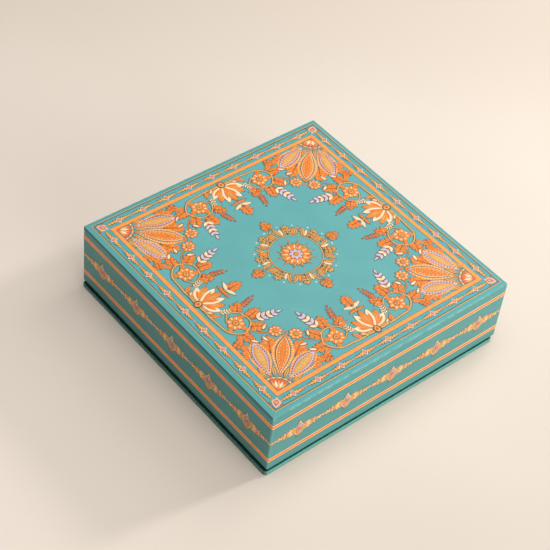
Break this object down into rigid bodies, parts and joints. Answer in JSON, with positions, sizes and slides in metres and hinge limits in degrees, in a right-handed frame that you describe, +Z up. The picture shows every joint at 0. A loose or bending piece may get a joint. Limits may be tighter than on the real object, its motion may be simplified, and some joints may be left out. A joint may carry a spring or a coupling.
{
  "type": "sweet box",
  "caption": "Square box for sweets: a printed lid lifts straight off a tray with cells, which stands on a thin plinth.",
  "frame": {"origin": "middle of the box's outline in plan, on the surface that it stands on", "axes": "+Z up; -Y is the front, where the lid's print reads upright; +X is to the right seen from the front"},
  "size_m": [0.2018, 0.2008, 0.054],
  "materials": {
    "printed_paper": "laminated art paper, printed teal, satin",
    "green_paper": "laminated paper, deep green, satin",
    "lining_paper": "uncoated cream liner paper, matt",
    "greaseproof_paper": "thin translucent greaseproof paper",
    "greyboard": "uncoated grey recycled board, matt",
    "kraft_tape": "gummed brown kraft tape, matt",
    "divider_card": "coated cream folding-box card, matt"
  },
  "bodies": {
    "base": {"plinth_board": "greyboard", "plinth_wrap": "green_paper", "underside_sheet": "lining_paper", "tray_board": "greyboard", "tray_corner_tapes": "kraft_tape", "tray_wrap": "green_paper", "tray_lining": "lining_paper", "greaseproof_sheet": "greaseproof_paper", "divider_across_front": "divider_card", "divider_across_middle": "divider_card", "divider_across_back": "divider_card", "divider_along_left": "divider_card", "divider_along_middle": "divider_card", "divider_along_right": "divider_card"},
    "lid": {"lid_board": "greyboard", "lid_corner_tapes": "kraft_tape", "lid_wrap": "printed_paper", "lid_lining": "lining_paper"}
  },
  "joints": [
    {"name": "lid_lift", "type": "slide", "parent": "base", "child": "lid", "axis": [0, 0, 1], "range_m": [0, 0.06]}
  ]
}
